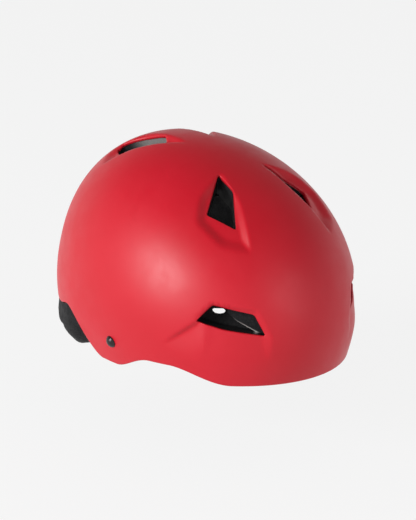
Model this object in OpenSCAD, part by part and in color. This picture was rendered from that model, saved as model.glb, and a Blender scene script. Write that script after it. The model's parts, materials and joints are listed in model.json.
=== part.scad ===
/* [Dome] */
// Half the width of the dome at its widest
dome_half_w = 109; // [100:0.5:118]
// Reach of the dome in front of its middle
dome_front = 139; // [130:0.5:150]
// Reach of the dome behind its middle
dome_rear = 140; // [130:0.5:152]
// Rise of the crown above the middle of the dome
dome_crown = 118; // [110:0.5:128]
// Depth below its middle at which the dome would close
dome_skirt = 118; // [105:1:140]
// Nose-down tilt of the dome, in degrees
dome_pitch = 20; // [14:0.5:24]
// Height of the middle of the dome above the table
dome_mid_z = 44; // [40:0.5:48]
// Power of the superellipse seen from above
plan_power = 2; // [1.9:0.05:2.4]
// Power of the superellipse seen from the side, above the middle
crown_power = 2.2; // [1.9:0.05:2.6]
// Power of the superellipse seen from the side, below the middle
skirt_power = 2.3; // [2:0.05:2.8]
// Depth of the inward tuck over the ears
ear_tuck = 5; // [0:0.5:7]

/* [Rim] */
// Height of the rim's arch in front of the ear
arch_h = 13; // [8:0.5:18]
// Azimuth from the brow at which the rim starts to rise
arch_start = 30; // [20:1:36]
// Azimuth at which the arch reaches its full height
arch_full = 55; // [48:1:58]
// Azimuth at which the arch starts to fall to the lobe
arch_end = 64; // [60:1:68]
// Azimuth of the lobe behind the ear
lobe_az = 86; // [82:1:88]
// Height of the shell's edge over the nape
nape_h = 34; // [26:0.5:37]
// Azimuth at which the lobe ends and the edge starts to rise
lobe_end_az = 96; // [92:1:100]
// Azimuth at which the nape edge reaches its height
nape_az = 120; // [114:1:126]
// How far the edge dips again behind its peak
nape_dip = 5; // [0:0.5:8]

/* [Shell] */
// Thickness of the shell
shell_wall = 3; // [2:0.1:3.6]
// Gap between the shell and the foam liner
liner_gap = 0.3; // [0.2:0.05:0.8]
// Depth of the scoop round each front upper vent
upper_scoop = 4.5; // [2:0.1:5.5]
// Depth of the scoop below each front lower vent
lower_scoop = 3; // [1:0.1:4]
// Depth of the scoop round each crown vent
crown_scoop = 4; // [1.5:0.1:4.5]
// Depth of the scoop round each rear vent
rear_scoop = 3.5; // [1.5:0.1:4.5]
// Radius of the corners of the vents
vent_corner = 2; // [1:0.1:3]

/* [Liner] */
// Half the width of the head cavity
cavity_half_w = 84; // [80:0.5:87]
// Reach of the head cavity in front of the middle
cavity_front = 111; // [104:0.5:115]
// Reach of the head cavity behind the middle
cavity_rear = 112; // [104:0.5:116]
// Rise of the head cavity above the middle
cavity_crown = 92; // [86:0.5:95]
// How far the liner's edge stands back from the shell's rim
liner_lift = 3; // [2:0.5:5]
// Setback of the top of the nape band from the face of the shell
nape_inset = 0.6; // [0.3:0.1:2]
// How far the foot of the nape band stands out from the dome
nape_out = 3.2; // [0:0.1:4]
// How far the lip under the nape band stands out from the dome
nape_lip_out = 1.8; // [0:0.1:3]
// Rise of the liner's edge to the shell's edge at the front of the nape
liner_shoulder = 6; // [0:0.5:8]
// Depth of the pocket behind each front lower vent, below the face of the shell
pocket_depth = 17; // [13:0.5:18]
// Depth of the shelf in that pocket
shelf_depth = 11.5; // [8:0.5:12.5]

/* [Pads] */
// Thickness of the comfort pads at their crown
pad_t = 8; // [5:0.5:10]
// Thickness of the pads at their edge
pad_edge_t = 2.5; // [1.5:0.1:4]
// Thickness of a hook disc under a pad
hook_t = 0.6; // [0.4:0.1:1]
// Radius of a hook disc
hook_r = 7; // [5:0.5:9]

/* [Rivets] */
// Radius of the rivet's head
rivet_head_r = 5; // [4:0.1:6]
// Height of the rivet's head
rivet_head_h = 3; // [2:0.1:4]
// Radius of the rivet's shank
rivet_shank_r = 2.2; // [1.8:0.1:2.6]
// Height of the rivet above the table
rivet_z = 20; // [18:0.5:22]

/* [Harness] */
// Width of the webbing
webbing_w = 15; // [12:0.5:17]
// Thickness of the webbing
webbing_t = 1.4; // [1:0.1:1.8]
// Radius of the bars that the webbing is sewn round
bar_r = 1.5; // [1.2:0.1:1.7]
// Distance between the front and rear anchors of one side
anchor_pitch = 40; // [38:1:50]
// Inward reach from the anchor bars to the divider's bar
drop_length = 66; // [60:0.5:68]
// Length of the buckle's socket
socket_l = 33; // [28:0.5:36]
// Width of the buckle
buckle_w = 27; // [24:0.5:30]
// Thickness of the buckle
buckle_t = 9; // [8:0.5:10]
// Length of the tongue's prongs beyond its frame
prong_l = 17; // [14:0.5:20]

/* [Hidden] */
// Columns and rows of the meshes of the shell and the liner
columns = 90;
shell_rows = 22;
shell_inner_rows = 14;
cavity_rows = 14;
// Small overlaps for cuts and running clearances
eps = 0.01;
clear = 0.3;
pivot_clear = 0.1;
reach = 200;

// Easing and directions
function ease(t) = let (s = min(max(t, 0), 1)) s * s * (3 - 2 * s);
function ramp(a, a0, a1) = ease((a - a0) / (a1 - a0));
function aim(az, el) = [-sin(az) * cos(el), -cos(az) * cos(el), sin(el)];
function across(az) = [cos(az), -sin(az), 0];
function upward(az, el) = [sin(az) * sin(el), cos(az) * sin(el), cos(el)];
function az_of(w) = atan2(abs(w[0]), -w[1]);
function el_of(w) = asin(min(max(w[2], -1), 1));

// Radius of a tilted superellipsoid in the direction w
function egg(w, half_w, front, rear, crown, skirt) =
    let (y = w[1] * cos(dome_pitch) + w[2] * sin(dome_pitch))
    let (z = w[2] * cos(dome_pitch) - w[1] * sin(dome_pitch))
    let (long = y < 0 ? front : rear)
    let (high = z > 0 ? crown : skirt)
    let (m = z > 0 ? crown_power : skirt_power)
    let (plan = pow(abs(w[0]) / half_w, plan_power) + pow(abs(y) / long, plan_power))
    pow(pow(plan, m / plan_power) + pow(abs(z) / high, m), -1 / m);

// The sides tuck in over the ears
tuck_az = 95;
tuck_el = -24;
tuck_span = 45;
tuck_rear_span = 24;
tuck_rise = 22;
function tuck(w) =
    let (a = (az_of(w) - tuck_az) / (az_of(w) < tuck_az ? tuck_span : tuck_rear_span))
    let (e = (el_of(w) - tuck_el) / tuck_rise)
    ear_tuck * exp(-a * a - e * e);
function plain_r(w) = egg(w, dome_half_w, dome_front, dome_rear, dome_crown, dome_skirt) - tuck(w);

// Each scoop is a convex outline [x, y, width of the slope] in a sketch plane that faces az, el
upper_vent_az = 35;
upper_vent_el = 50;
lower_vent_az = 45;
lower_vent_el = 5;
crown_vent_az = 120;
crown_vent_el = 70;
rear_vent_az = 155;
rear_vent_el = 12;
upper_scoop_outline = [[8, 34, 8], [-12, 8, 9], [-17, -17, 11], [2, -42, 12], [27, -47, 5], [21, 0, 5]];
lower_scoop_outline = [[0, 0, 16], [8, -30, 24], [60, -36, 10], [64, -14, 4], [51, 9, 3], [16, 15, 3]];
lower_crease_outline = [[-26, -20, 8], [0, -30, 8], [24, -12, 1], [5, 1, 3]];
crown_scoop_outline = [[4, 28, 5], [-22, 17, 6], [-44, 2, 8], [-56, -24, 10], [-46, -38, 10], [-27, -42, 5]];
rear_scoop_outline = [[-15, -26, 6], [16, -30, 6], [19, 20, 6], [-7, 28, 10], [-17, 8, 8]];
upper_hole = [[6, 31], [-6, -8], [16, -23], [16, 12]];
lower_hole = [[3, -1], [24, -7], [57, -12], [48, 5], [16, 12]];
crown_hole = [[-14, 12], [-20, 12.5], [-36, -1], [-49, -19], [-46, -25], [-25, -26]];
rear_hole = [[-8, -16], [10, -19], [13, 12], [-4, 18]];

function edge_inset(q, a, b) =
    let (run = [b[0] - a[0], b[1] - a[1]])
    (run[0] * (q[1] - a[1]) - run[1] * (q[0] - a[0])) / norm(run) / a[2];
// The slopes of a scoop meet in rounded corners
corner_hardness = 7;
function soft_min(d) = let (e = [for (x = d) exp(-corner_hardness * x)]) -ln(e * [for (x = e) 1]) / corner_hardness;
function scooped(p, az, el, outline, depth) =
    let (q = [p * across(az), p * upward(az, el)])
    let (n = len(outline))
    p * aim(az, el) < 0 ? 0
    : depth * ease(soft_min([for (i = [0:n - 1]) edge_inset(q, outline[i], outline[(i + 1) % n])]));
function scoops(w, r) =
    let (p = [-abs(w[0]), w[1], w[2]] * r)
    max(scooped(p, upper_vent_az, upper_vent_el, upper_scoop_outline, upper_scoop),
        scooped(p, lower_vent_az, lower_vent_el, lower_scoop_outline, lower_scoop),
        scooped(p, lower_vent_az, lower_vent_el, lower_crease_outline, lower_scoop),
        scooped(p, crown_vent_az, crown_vent_el, crown_scoop_outline, crown_scoop),
        scooped(p, rear_vent_az, rear_vent_el, rear_scoop_outline, rear_scoop));

// Faces of the shell, the liner and the cavity, as radii from the middle of the dome
function shell_r(w) = let (r = plain_r(w)) r - scoops(w, r);
function shell_in_r(w) = shell_r(w) - shell_wall;
function liner_r(w) = shell_in_r(w) - liner_gap;
function cavity_r(w) = egg(w, cavity_half_w, cavity_front, cavity_rear, cavity_crown, reach);

// Height of the rim of the shell and of the liner round the helmet
nape_ease = 12;
shoulder_az = 104.5;
function arch(az) = arch_h * (ramp(az, arch_start, arch_full) - ramp(az, arch_end, lobe_az));
function shell_rim(az) =
    arch(az) + nape_h * ramp(az, lobe_end_az, nape_az) - nape_dip * ramp(az, nape_az, nape_az + nape_ease);
function liner_rim(az) =
    arch(az) + liner_lift + liner_shoulder * ramp(az, lobe_end_az - 2, shoulder_az)
    - (liner_lift + liner_shoulder) * ramp(az, shoulder_az, nape_az + 1);
// Elevation at which the face f stands at height z
function level(f, az, z, low = -60, high = 0, steps = 16) =
    let (mid = (low + high) / 2)
    steps == 0 ? mid
    : dome_mid_z + f(aim(az, mid)) * sin(mid) < z ? level(f, az, z, mid, high, steps - 1)
    : level(f, az, z, low, mid, steps - 1);

// The helmet stands with the middle of its footprint over the origin
front_y = [for (k = [0:8]) let (w = aim(0, level(function (w) shell_r(w), 0, 0) + k * 3)) w[1] * shell_r(w)];
rear_y = [for (k = [0:8]) let (w = aim(180, level(function (w) shell_r(w), 180, nape_h - nape_dip) + k * 3)) w[1] * shell_r(w)];
mid_y = -(min(front_y) + max(rear_y)) / 2;
dome_mid = [0, mid_y, dome_mid_z];
function at(w, r) = dome_mid + w * r;

// Rings of points from a rim to the crown, then the triangles between them
function column_az(i) = i * 360 / columns;
function folded(az) = az > 180 ? 360 - az : az;
function seated(p, z) = [p[0], p[1], z];
function cap(f, rim, starts, rows) = [
    for (j = [0:rows - 1])
        for (i = [0:columns - 1])
            let (w = aim(column_az(i), starts[i] + (90 - starts[i]) * j / rows))
            j == 0 ? seated(at(w, f(w)), rim(folded(column_az(i)))) : at(w, f(w)),
    at([0, 0, 1], f([0, 0, 1]))];
function band(base, rows, n, flip) = [
    for (j = [0:rows - 2])
        for (i = [0:n - 1])
            let (a = base + j * n + i)
            let (b = base + j * n + (i + 1) % n)
            each flip ? [[a, b, b + n], [a, b + n, a + n]] : [[a, b + n, b], [a, a + n, b + n]]];
function fan(base, rows, n, flip) =
    let (top = base + rows * n)
    [for (i = [0:n - 1])
        let (a = top - n + i)
        let (b = top - n + (i + 1) % n)
        flip ? [a, b, top] : [a, top, b]];
function joined(low, high, n, flip) = [
    for (i = [0:n - 1])
        let (k = (i + 1) % n)
        each flip ? [[low + i, low + k, high + k], [low + i, high + k, high + i]]
            : [[low + i, high + k, low + k], [low + i, high + i, high + k]]];

// A cutter or a part placed on the sketch plane that faces az, el on the wearer's right
module facing(az, el) {
    translate(dome_mid)
        rotate([90 - el, 0, -az])
            children();
}
module both_sides() {
    children();
    mirror([1, 0, 0])
        children();
}
function rounded(outline, r, steps = 3) = [
    for (i = [0:len(outline) - 1])
        let (p = outline[i])
        let (a = outline[(i + len(outline) - 1) % len(outline)] - p)
        let (b = outline[(i + 1) % len(outline)] - p)
        let (from = p + a / norm(a) * r)
        let (to = p + b / norm(b) * r)
        for (k = [0:steps])
            let (t = k / steps)
            from * (1 - t) * (1 - t) + p * 2 * t * (1 - t) + to * t * t];
module hole(az, el, outline) {
    facing(az, el)
        linear_extrude(reach)
            polygon(rounded(outline, vent_corner));
}
module vent_cuts() {
    both_sides() {
        hole(upper_vent_az, upper_vent_el, upper_hole);
        hole(crown_vent_az, crown_vent_el, crown_hole);
        hole(rear_vent_az, rear_vent_el, rear_hole);
    }
}

// In the liner a lower vent is a stepped pocket, and a channel leads on from its deep end
lower_vent_face = 121;
lower_channel = [[13.6, 3], [15.5, 0.3], [19.5, -0.6], [23.5, 0.3], [25.2, 3.5], [24, 7.4], [15, 7.4]];
pocket_shelf = [[26.5, 25], [26.5, 3.5], [33.8, -3.1], [62, -18.5], [62, 25]];
module lower_pockets() {
    both_sides()
        facing(lower_vent_az, lower_vent_el) {
            linear_extrude(reach)
                polygon(rounded(lower_channel, 0.8, 1));
            translate([0, 0, lower_vent_face - shelf_depth])
                linear_extrude(reach)
                    polygon(rounded(lower_hole, vent_corner));
            translate([0, 0, lower_vent_face - pocket_depth])
                linear_extrude(reach)
                    difference() {
                        polygon(rounded(lower_hole, vent_corner));
                        polygon(pocket_shelf);
                    }
        }
}

// The rivets stand square to the tucked side, over the lobe
rivet_tilt = 12;
rivet_w = aim(lobe_az, level(function (w) plain_r(w), lobe_az, rivet_z));
rivet_at = at(rivet_w, plain_r(rivet_w));
module at_rivet() {
    translate(rivet_at)
        rotate([0, -90 - rivet_tilt, 0])
            children();
}

// Each anchor is a plate against the liner with a bar before it, on the rivet's axis
anchor_t = 2;
anchor_w = webbing_w + 2 * (anchor_t + clear);
anchor_h = 12;
loop_r = bar_r + pivot_clear + webbing_t;
bar_stand = loop_r + 2.5;
rivet_grip = plain_r(rivet_w) - cavity_r(rivet_w) - 0.8;
bar_depth = rivet_grip + anchor_t + bar_stand;
plug_r = 2.5;
plug_l = 4.5;
pocket_clear = 0.2;
hinge = rivet_at + [cos(rivet_tilt), 0, sin(rivet_tilt)] * bar_depth;

// The drop straps slope from the anchor bars down to the divider, which all but rests on the table
divider_skin = 1.4;
divider_low = -loop_r - clear - divider_skin;
divider_high = webbing_t - loop_r + clear + divider_skin;
drop_angle = asin((hinge[2] + divider_low - pivot_clear) / drop_length);
fork_y = -anchor_pitch / 2;
module in_strap() {
    translate(hinge)
        rotate([0, drop_angle, 0])
            children();
}
module left() {
    mirror([1, 0, 0])
        children();
}

module outer_shell() {
    rim = function (az) shell_rim(az);
    outer = [for (i = [0:columns - 1])
        level(function (w) shell_r(w), column_az(i), shell_rim(folded(column_az(i))))];
    base = columns * shell_rows + 1;
    color("crimson")
        difference() {
            polyhedron(
                concat(cap(function (w) shell_r(w), rim, outer, shell_rows),
                    cap(function (w) shell_in_r(w), rim, inner_rim_el, shell_inner_rows)),
                concat(band(0, shell_rows, columns, true), fan(0, shell_rows, columns, true),
                    band(base, shell_inner_rows, columns, false), fan(base, shell_inner_rows, columns, false),
                    joined(0, base, columns, false)));
            vent_cuts();
            both_sides() {
                hole(lower_vent_az, lower_vent_el, lower_hole);
                at_rivet()
                    cylinder(h = reach / 4, r = rivet_shank_r + pivot_clear, center = true, $fn = 32);
            }
        }
}

// Elevations of the shell's inner rim; the liner's rows above it share them, so the gap stays even
inner_rim_el = [for (i = [0:columns - 1])
    level(function (w) shell_in_r(w), column_az(i), shell_rim(folded(column_az(i))))];

// The nape band shows below the shell's edge: [share of its height, setback of its face]
nape_profile = [[0, 3], [0.08, 0], [0.2, -nape_lip_out], [0.36, -nape_lip_out],
    [0.42, -nape_out], [0.6, -0.7 * nape_out], [0.95, nape_inset], [1, nape_inset + 0.8]];
nape_start = 106;
nape_blend = 8;
band_gap = 0.8;
function band_top(az) = max(shell_rim(az) - band_gap, liner_rim(az) + band_gap);
function nape_r(w, inset) =
    let (k = ramp(az_of(w), nape_start, nape_start + nape_blend))
    liner_r(w) * (1 - k) + (shell_r(w) - inset) * k;
function nape_rows() = [
    for (row = nape_profile)
        for (i = [0:columns - 1])
            let (az = column_az(i))
            let (a = folded(az))
            let (z = liner_rim(a) + (band_top(a) - liner_rim(a)) * row[0])
            let (w = aim(az, level(function (d) nape_r(d, row[1]), az, z)))
            seated(at(w, nape_r(w, row[1])), z)];
function liner_start(i) =
    level(function (w) liner_r(w), column_az(i), band_top(folded(column_az(i))) + band_gap / 2);
function liner_rows() = [
    for (j = [0:shell_inner_rows - 1])
        for (i = [0:columns - 1])
            let (start = inner_rim_el[i])
            let (el = j == 0 ? liner_start(i) : start + (90 - start) * j / shell_inner_rows)
            let (w = aim(column_az(i), el))
            at(w, liner_r(w)),
    at([0, 0, 1], liner_r([0, 0, 1]))];

module eps_liner() {
    rows = len(nape_profile) + shell_inner_rows;
    base = columns * rows + 1;
    starts = [for (i = [0:columns - 1])
        level(function (w) cavity_r(w), column_az(i), liner_rim(folded(column_az(i))))];
    color("#1b1b1d")
        difference() {
            polyhedron(
                concat(nape_rows(), liner_rows(),
                    cap(function (w) cavity_r(w), function (az) liner_rim(az), starts, cavity_rows)),
                concat(band(0, rows, columns, true), fan(0, rows, columns, true),
                    band(base, cavity_rows, columns, false), fan(base, cavity_rows, columns, false),
                    joined(0, base, columns, false)));
            vent_cuts();
            lower_pockets();
            both_sides()
                at_rivet() {
                    cylinder(h = reach / 4, r = rivet_shank_r + pivot_clear, center = true, $fn = 32);
                    anchor_pocket();
                    translate([0, -anchor_pitch, 0])
                        anchor_pocket();
                    translate([0, -anchor_pitch, -rivet_grip - anchor_t])
                        cylinder(h = anchor_t + plug_l + pocket_clear, r = plug_r + pivot_clear, $fn = 32);
                }
        }
}
module anchor_pocket() {
    translate([-reach / 8, -anchor_w / 2 - pocket_clear, -reach / 4 - rivet_grip + pocket_clear])
        cube([reach / 8 + anchor_h / 2 + pocket_clear, anchor_w + 2 * pocket_clear, reach / 4]);
}

// Comfort pads: crowned cushions on the cavity's face, [az, el, width, height]
hook_seat = 0.8;
pad_gap = hook_seat + hook_t + 0.15;
pad_draw = 0.12;
brow_seat = [0, -9, 116, 22];
crown_front_seat = [0, 84, 64, 44];
crown_rear_seat = [180, 33, 52, 30];
side_seat = [86, 13, 66, 28];
rear_seat = [180, 3, 62, 26];
function pad_dir(seat, x, y) =
    let (p = aim(seat[0], seat[1]) * cavity_crown + across(seat[0]) * x + upward(seat[0], seat[1]) * y)
    p / norm(p);
function pad_puff(u, v) = pad_edge_t + (pad_t - pad_edge_t) * pow((1 - pow(u, 4)) * (1 - pow(v, 4)), 0.5);
function pad_face(seat, nu, nv, puffed) = [
    for (j = [0:nv])
        for (i = [0:nu])
            let (u = 2 * i / nu - 1)
            let (v = 2 * j / nv - 1)
            let (x = u * (1 - pad_draw * v * v) * seat[2] / 2)
            let (y = v * (1 - pad_draw * u * u) * seat[3] / 2)
            let (w = pad_dir(seat, x, y))
            at(w, cavity_r(w) - pad_gap - (puffed ? pad_puff(u, v) : 0))];
function sheet_faces(base, nu, nv, flip) = [
    for (j = [0:nv - 1])
        for (i = [0:nu - 1])
            let (a = base + j * (nu + 1) + i)
            let (b = a + nu + 1)
            each flip ? [[a, a + 1, b + 1], [a, b + 1, b]] : [[a, b + 1, a + 1], [a, b, b + 1]]];
function border(nu, nv) = concat(
    [for (i = [0:nu - 1]) i],
    [for (j = [0:nv - 1]) j * (nu + 1) + nu],
    [for (i = [0:nu - 1]) nv * (nu + 1) + nu - i],
    [for (j = [0:nv - 1]) (nv - j) * (nu + 1)]);
function hem(edge, base) = [
    for (i = [0:len(edge) - 1])
        let (a = edge[i])
        let (b = edge[(i + 1) % len(edge)])
        each [[a, b, b + base], [a, b + base, a + base]]];
module pad(seat, nu, nv) {
    count = (nu + 1) * (nv + 1);
    color("#202124")
        polyhedron(
            concat(pad_face(seat, nu, nv, false), pad_face(seat, nu, nv, true)),
            concat(sheet_faces(0, nu, nv, false), sheet_faces(count, nu, nv, true),
                hem(border(nu, nv), count)));
}
module brow_pad() pad(brow_seat, 20, 8);
module crown_pad_front() pad(crown_front_seat, 12, 10);
module crown_pad_rear() pad(crown_rear_seat, 12, 10);
module side_pad_right() pad(side_seat, 14, 8);
module side_pad_left() left() pad(side_seat, 14, 8);
module rear_pad() pad(rear_seat, 14, 8);

// Hook discs hold the pads, square to the cavity's face
nudge = 0.5;
function cavity_point(seat, x, y) = let (w = pad_dir(seat, x, y)) at(w, cavity_r(w));
function cavity_normal(seat, x) =
    let (n = cross(cavity_point(seat, x + nudge, 0) - cavity_point(seat, x - nudge, 0),
        cavity_point(seat, x, nudge) - cavity_point(seat, x, -nudge)))
    n / norm(n);
module hook_disc(seat, x) {
    n = cavity_normal(seat, x);
    translate(cavity_point(seat, x, 0) - n * hook_seat)
        rotate([0, acos(n[2]), atan2(n[1], n[0])])
            translate([0, 0, -hook_t])
                cylinder(h = hook_t, r = hook_r, $fn = 32);
}
module pad_hook_discs() {
    color("#3a3b3f") {
        for (x = [-1, 1] * brow_seat[2] / 4)
            hook_disc(brow_seat, x);
        for (seat = [crown_front_seat, crown_rear_seat, rear_seat])
            hook_disc(seat, 0);
        both_sides()
            hook_disc(side_seat, 0);
    }
}

// Rivet: a domed head on a shank that is peened over behind the rear anchor's plate
peen_h = 1;
module rivet() {
    head_sphere = (rivet_head_r * rivet_head_r + rivet_head_h * rivet_head_h) / (2 * rivet_head_h);
    back = rivet_grip + anchor_t + pivot_clear;
    color("#151515")
        at_rivet()
            rotate_extrude($fn = 48)
                polygon(concat(
                    [[0, -back - peen_h], [rivet_shank_r + 0.8, -back - peen_h], [rivet_shank_r + 0.8, -back],
                        [rivet_shank_r, -back], [rivet_shank_r, pivot_clear], [rivet_head_r, pivot_clear]],
                    [for (k = [0:6])
                        let (a = asin(rivet_head_r / head_sphere) * (1 - k / 6))
                        [head_sphere * sin(a), head_sphere * (cos(a) - 1) + rivet_head_h + 2 * pivot_clear]]));
}
module rivet_right() rivet();
module rivet_left() left() rivet();

// Anchor: plate, two ears and the bar; the front one has a plug into the liner instead of the rivet
module anchor_body() {
    translate([-anchor_h / 2, -anchor_w / 2, -rivet_grip - anchor_t])
        cube([anchor_h, anchor_w, anchor_t]);
    for (side = [-1, 1])
        translate([0, side * (anchor_w - anchor_t) / 2, 0]) {
            translate([-bar_r - 1, -anchor_t / 2, -bar_depth])
                cube([2 * bar_r + 2, anchor_t, bar_stand + eps]);
            translate([0, 0, -bar_depth])
                rotate([90, 0, 0])
                    cylinder(h = anchor_t, r = bar_r + 1, center = true, $fn = 32);
        }
    translate([0, 0, -bar_depth])
        rotate([90, 0, 0])
            cylinder(h = anchor_w - anchor_t, r = bar_r, center = true, $fn = 32);
}
module anchor_rear() {
    color("#1c1c1c")
        at_rivet()
            difference() {
                anchor_body();
                translate([0, 0, -rivet_grip - anchor_t - eps])
                    cylinder(h = anchor_t + 2 * eps, r = rivet_shank_r + pivot_clear, $fn = 32);
            }
}
module anchor_front() {
    color("#1c1c1c")
        at_rivet()
            translate([0, -anchor_pitch, 0]) {
                anchor_body();
                translate([0, 0, -rivet_grip - eps])
                    cylinder(h = plug_l, r = plug_r, $fn = 32);
            }
}
module anchor_rear_right() anchor_rear();
module anchor_rear_left() left() anchor_rear();
module anchor_front_right() anchor_front();
module anchor_front_left() left() anchor_front();

// A sewn loop of webbing round a bar
module webbing_loop() {
    rotate([90, 0, 0])
        difference() {
            cylinder(h = webbing_w, r = loop_r, center = true, $fn = 40);
            cylinder(h = webbing_w + 2 * eps, r = bar_r + pivot_clear, center = true, $fn = 40);
        }
}
// A drop strap: from its anchor bar at y, angled into the divider at end_y
fork_gap = 0.3;
fork_shift = webbing_w / 2 + fork_gap;
divider_x = drop_length - 24;
divider_l = 17;
strap_x = 8;
strap_bend = 1.5;
module drop_strap(y, end_y) {
    half = webbing_w / 2;
    color("#232326")
        in_strap() {
            translate([0, y, 0])
                webbing_loop();
            translate([0, 0, -loop_r])
                linear_extrude(webbing_t)
                    polygon([[0, y - half], [strap_x, y - half],
                        [divider_x - strap_bend, end_y - half], [divider_x + strap_x, end_y - half],
                        [divider_x + strap_x, end_y + half], [divider_x - strap_bend, end_y + half],
                        [strap_x, y + half], [0, y + half]]);
        }
}
module strap_rear_right() drop_strap(0, fork_y + fork_shift);
module strap_rear_left() left() drop_strap(0, fork_y + fork_shift);
module strap_front_right() drop_strap(-anchor_pitch, fork_y - fork_shift);
module strap_front_left() left() drop_strap(-anchor_pitch, fork_y - fork_shift);

// The chin straps lie folded back over the drop straps, clear of the divider by a keeper's wall
keeper_wall = 1.2;
keeper_fit = 0.2;
chin_low = divider_high + clear + keeper_wall + keeper_fit;
chin_bar = chin_low + webbing_t - loop_r;

// Divider: a flat wedge that takes both drop straps, with a bar for the chin strap between two cheeks
divider_wide = webbing_w + fork_gap + 2.6;
divider_slim = webbing_w / 2 + clear + 2.4;
cheek_t = 2;
cheek_r = bar_r + 1.2;
module divider() {
    end_x = divider_x + divider_l;
    mouth_l = strap_x + 1;
    color("#1c1c1c")
        in_strap()
            translate([0, fork_y, 0]) {
                difference() {
                    translate([0, 0, divider_low])
                        linear_extrude(divider_high - divider_low)
                            polygon(rounded([[divider_x, -divider_wide], [divider_x + mouth_l, -divider_wide],
                                [end_x, -divider_slim], [end_x, divider_slim],
                                [divider_x + mouth_l, divider_wide], [divider_x, divider_wide]], 2));
                    translate([divider_x - eps, -webbing_w - fork_gap - clear, -loop_r - clear])
                        cube([strap_x + clear, 2 * (webbing_w + fork_gap + clear), webbing_t + 2 * clear]);
                }
                for (side = [-1, 1])
                    translate([0, side * (divider_slim - cheek_t / 2), 0])
                        rotate([90, 0, 0]) {
                            linear_extrude(cheek_t, center = true)
                                polygon([[end_x - 3, divider_low], [drop_length - 1, divider_low],
                                    [drop_length + cheek_r, chin_bar], [drop_length, chin_bar + cheek_r],
                                    [end_x - 3, divider_high]]);
                            translate([drop_length, chin_bar, 0])
                                cylinder(h = cheek_t, r = cheek_r, center = true, $fn = 32);
                        }
                translate([drop_length, 0, chin_bar])
                    rotate([90, 0, 0])
                        cylinder(h = 2 * divider_slim - cheek_t, r = bar_r, center = true, $fn = 32);
            }
}
module divider_right() divider();
module divider_left() left() divider();

socket_x = 38;
socket_bar = chin_low + loop_r;
tail_x = 17;
module chin_band(end_x) {
    translate([end_x, fork_y - webbing_w / 2, chin_low])
        cube([drop_length - end_x, webbing_w, webbing_t]);
    translate([drop_length, fork_y, chin_bar])
        webbing_loop();
}
module chin_strap_right() {
    color("#232326")
        in_strap() {
            chin_band(socket_x);
            translate([socket_x, fork_y, socket_bar])
                webbing_loop();
        }
}
module chin_strap_left() {
    color("#232326")
        left()
            in_strap()
                chin_band(tail_x);
}

// Buckle socket: a flat box with a mouth, side windows for the prongs and a bar for the webbing
socket_wall = 1.5;
socket_deep = 20;
window_l = 8;
module buckle_socket() {
    low = socket_bar - buckle_t / 2;
    mouth_x = socket_x + bar_r + 1.2 - socket_l;
    body_l = socket_l - 9;
    color("#1a1a1a")
        in_strap()
            translate([mouth_x, fork_y, low])
                difference() {
                    union() {
                        linear_extrude(buckle_t)
                            polygon(rounded([[0, -buckle_w / 2], [body_l, -buckle_w / 2], [body_l, buckle_w / 2],
                                [0, buckle_w / 2]], 3));
                        for (side = [-1, 1])
                            translate([body_l - 4, side * (webbing_w / 2 + 1.5) - 1.1, 1])
                                cube([socket_l - body_l + 4, 2.2, buckle_t - 2]);
                        translate([socket_x - mouth_x, 0, buckle_t / 2])
                            rotate([90, 0, 0])
                                cylinder(h = webbing_w + 3, r = bar_r, center = true, $fn = 32);
                    }
                    translate([-eps, -buckle_w / 2 + 2.2, socket_wall])
                        cube([socket_deep, buckle_w - 4.4, buckle_t - 2 * socket_wall]);
                    for (side = [-1, 1])
                        translate([socket_deep - window_l - 2, side * buckle_w / 2 - 4, socket_wall + 0.4])
                            cube([window_l, 8, buckle_t - 2 * socket_wall - 0.8]);
                }
}

// Buckle tongue: a ladder frame on the webbing, two barbed prongs and a guide between them
tongue_frame_l = 17;
tongue_x = 40;
rung = 2.6;
module buckle_tongue() {
    low = chin_low - clear - webbing_t;
    top = chin_low + webbing_t + clear;
    high = top + 2.6;
    half = webbing_w / 2 + clear;
    rail = 2.4;
    prong_out = buckle_w / 2 - 3;
    color("#1a1a1a")
        left()
            in_strap()
                translate([tongue_x, fork_y, 0]) {
                    for (side = [-1, 1])
                        translate([-tongue_frame_l, side * (half + rail / 2) - rail / 2, low])
                            cube([tongue_frame_l, rail, high - low]);
                    for (x = [-tongue_frame_l, -rung])
                        translate([x, -half - eps, top])
                            cube([rung, 2 * half + 2 * eps, high - top]);
                    translate([-tongue_frame_l / 2 - rung / 2, -half - eps, low])
                        cube([rung, 2 * half + 2 * eps, webbing_t]);
                    translate([-tongue_frame_l, 0, top])
                        linear_extrude(high - top) {
                            for (side = [0, 1])
                                mirror([0, side])
                                    polygon([[eps, prong_out - 3.4], [eps, prong_out],
                                        [-prong_l * 0.45, prong_out - 0.4], [-prong_l * 0.5, prong_out + 1.8],
                                        [-prong_l * 0.8, prong_out + 1.4], [-prong_l, prong_out - 3],
                                        [-prong_l * 0.85, prong_out - 3.4], [-prong_l * 0.45, prong_out - 2.4]]);
                            translate([-prong_l * 0.8, -rung / 2])
                                square([prong_l * 0.8 + eps, rung]);
                        }
                }
}

// Keeper: a rubber band round the webbing, between the divider and the tongue
keeper_l = 4;
keeper_x = 47;
module strap_keeper() {
    hole_w = webbing_w + 2 * keeper_fit;
    hole_h = webbing_t + 2 * keeper_fit;
    color("#111111")
        left()
            in_strap()
                translate([keeper_x + keeper_l / 2, fork_y, chin_low + webbing_t / 2])
                    difference() {
                        cube([keeper_l, hole_w + 2 * keeper_wall, hole_h + 2 * keeper_wall], center = true);
                        cube([keeper_l + 2 * eps, hole_w, hole_h], center = true);
                    }
}

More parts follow.
